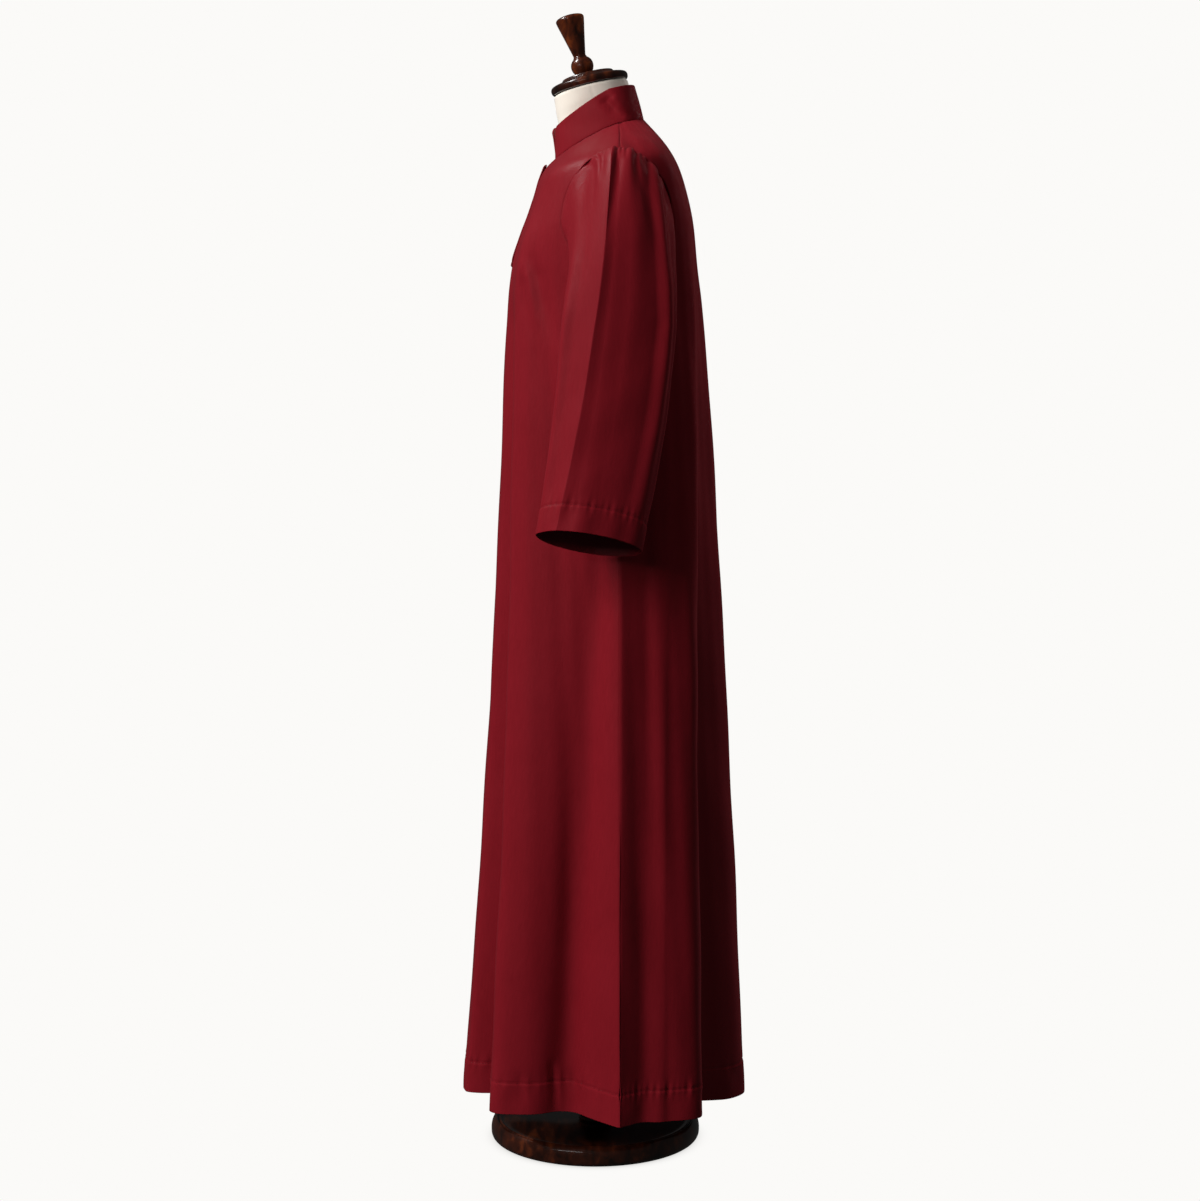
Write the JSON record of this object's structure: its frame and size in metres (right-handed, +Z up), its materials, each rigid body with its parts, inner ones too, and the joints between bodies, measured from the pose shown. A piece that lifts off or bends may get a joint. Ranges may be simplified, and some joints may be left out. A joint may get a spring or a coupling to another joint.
{
  "type": "choir cassock on dress form",
  "caption": "Full-length choir cassock with a stand collar, covered front closing and gathered sleeves, displayed on a limbless dress form with a turned wooden stand.",
  "frame": {"origin": "centre of the stand's underside, on the floor", "axes": "+Z up, the cassock's front towards -Y, the wearer's left arm on +X"},
  "size_m": [0.604, 0.403, 1.5899],
  "materials": {
    "cassock_cloth": "deep red polyester-cotton weave, smooth and slightly lustrous",
    "form_jersey": "cream cotton jersey over a padded form",
    "dark_wood": "turned hardwood, stained dark and lacquered to a gloss"
  },
  "bodies": {
    "root": {"front_left": "cassock_cloth", "front_right": "cassock_cloth", "back": "cassock_cloth", "sleeve_left": "cassock_cloth", "sleeve_right": "cassock_cloth", "collar": "cassock_cloth", "front_fly": "cassock_cloth", "form_torso": "form_jersey", "stand_base": "dark_wood", "stand_pole": "dark_wood", "neck_cap": "dark_wood", "finial": "dark_wood"}
  },
  "joints": []
}
